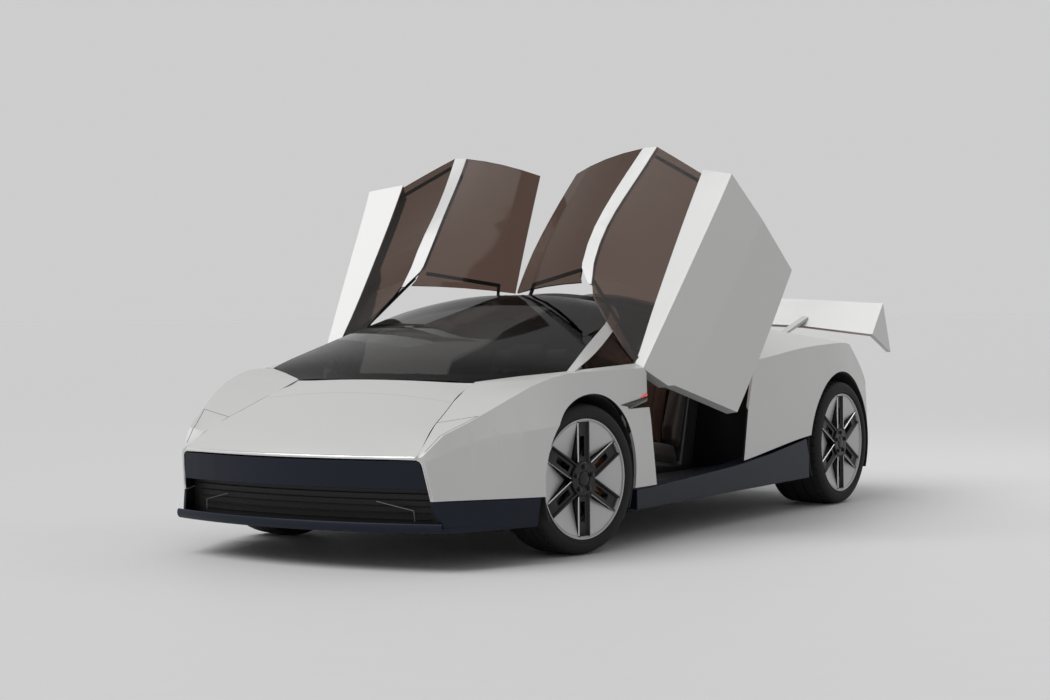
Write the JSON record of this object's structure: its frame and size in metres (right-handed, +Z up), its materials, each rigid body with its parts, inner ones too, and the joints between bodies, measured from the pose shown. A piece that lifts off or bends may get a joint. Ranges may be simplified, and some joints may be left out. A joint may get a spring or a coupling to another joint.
{
  "type": "mid-engined sports car with swing-up doors",
  "caption": "Low wedge-shaped mid-engined two-seat car with its doors swung up and forward, glass roof panes in the doors, turned front wheels and a raised tail wing.",
  "frame": {"origin": "middle of the overall length and width, on the ground", "axes": "+X ahead, +Y to the car's left, +Z up"},
  "size_m": [4.6456, 2.704, 1.9672],
  "materials": {
    "body_paint": "satin silver white",
    "navy_trim": "satin dark navy",
    "black_trim": "matt black",
    "screen_glass": "glossy near black",
    "tinted_glass": "glossy bronze brown tint",
    "cabin_shell": "matt dark grey",
    "cabin_trim": "satin near black",
    "seat_leather": "satin bronze brown",
    "frame_metal": "satin grey",
    "steel": "brushed grey",
    "cast_metal": "rough dark grey",
    "wheel_metal": "satin, dark arms and light covers",
    "tyre": "matt black",
    "lamp_red": "glossy red"
  },
  "bodies": {
    "chassis": {"tub": "cabin_shell", "front_frame": "frame_metal", "undertray": "black_trim", "sills": "navy_trim", "front_bumper": "navy_trim", "intake_grille": "black_trim", "splitter": "navy_trim", "luggage_tub": "black_trim", "fender_left": "body_paint", "fender_right": "body_paint", "wheel_houses": "black_trim", "windscreen": "screen_glass", "pillars": "body_paint", "quarter_windows": "tinted_glass", "roof_frame": "cabin_shell", "quarter_left": "body_paint", "quarter_right": "body_paint", "engine_cover": "body_paint", "rear_bumper": "navy_trim", "tail_lamp": "lamp_red", "diffuser": "black_trim", "seat_left": "seat_leather", "seat_right": "seat_leather", "dashboard": "cabin_trim", "console": "cabin_trim", "steering_wheel": "cabin_trim", "power_unit": "cast_metal", "front_suspension": "steel", "rear_suspension": "steel"},
    "hood": {"hood": "body_paint"},
    "rear_wing": {"rear_wing": "body_paint"},
    "door_left": {"door_left": "body_paint", "door_frame_left": "black_trim", "door_window_left": "tinted_glass", "roof_glass_left": "tinted_glass"},
    "knuckle_left": {"knuckle_left": "steel"},
    "front_wheel_left": {"front_wheel_left": "wheel_metal", "front_tyre_left": "tyre"},
    "rear_wheel_left": {"rear_wheel_left": "wheel_metal", "rear_tyre_left": "tyre"},
    "door_right": {"door_right": "body_paint", "door_frame_right": "black_trim", "door_window_right": "tinted_glass", "roof_glass_right": "tinted_glass"},
    "knuckle_right": {"knuckle_right": "steel"},
    "front_wheel_right": {"front_wheel_right": "wheel_metal", "front_tyre_right": "tyre"},
    "rear_wheel_right": {"rear_wheel_right": "wheel_metal", "rear_tyre_right": "tyre"}
  },
  "joints": [
    {"name": "door_left_hinge", "type": "hinge", "parent": "chassis", "child": "door_left", "pos_m": [0.44216, 0.05, 1.19076], "axis": [0.3414, 0.8755, -0.342], "range_deg": [-60.9, 0]},
    {"name": "door_right_hinge", "type": "hinge", "parent": "chassis", "child": "door_right", "pos_m": [0.44216, -0.05, 1.19076], "axis": [-0.3414, 0.8755, 0.342], "range_deg": [-60.9, 0]},
    {"name": "hood_hinge", "type": "hinge", "parent": "chassis", "child": "hood", "pos_m": [1.57176, 0, 0.79969], "axis": [0, -1, 0], "range_deg": [0, 48]},
    {"name": "wing_tilt", "type": "hinge", "parent": "chassis", "child": "rear_wing", "pos_m": [-1.8228, 0, 0.945], "axis": [0, -1, 0], "range_deg": [0, 38]},
    {"name": "steer_left", "type": "hinge", "parent": "chassis", "child": "knuckle_left", "pos_m": [1.2972, 0.8435, 0.35], "axis": [0, 0, 1], "range_deg": [-19.7, 40.3]},
    {"name": "steer_right", "type": "hinge", "parent": "chassis", "child": "knuckle_right", "pos_m": [1.2972, -0.8435, 0.35], "axis": [0, 0, 1], "range_deg": [-19.7, 40.3]},
    {"name": "front_spin_left", "type": "hinge", "parent": "knuckle_left", "child": "front_wheel_left", "pos_m": [1.2972, 0.8435, 0.35], "axis": [0.1788, 0.9839, 0], "continuous": true},
    {"name": "front_spin_right", "type": "hinge", "parent": "knuckle_right", "child": "front_wheel_right", "pos_m": [1.2972, -0.8435, 0.35], "axis": [0.1788, 0.9839, 0], "continuous": true},
    {"name": "rear_spin_left", "type": "hinge", "parent": "chassis", "child": "rear_wheel_left", "pos_m": [-1.4328, 0.8365, 0.35], "axis": [0, 1, 0], "continuous": true},
    {"name": "rear_spin_right", "type": "hinge", "parent": "chassis", "child": "rear_wheel_right", "pos_m": [-1.4328, -0.8365, 0.35], "axis": [0, 1, 0], "continuous": true}
  ],
  "couplings": [
    {"joint": "steer_right", "follows": "steer_left", "ratio": 1}
  ]
}
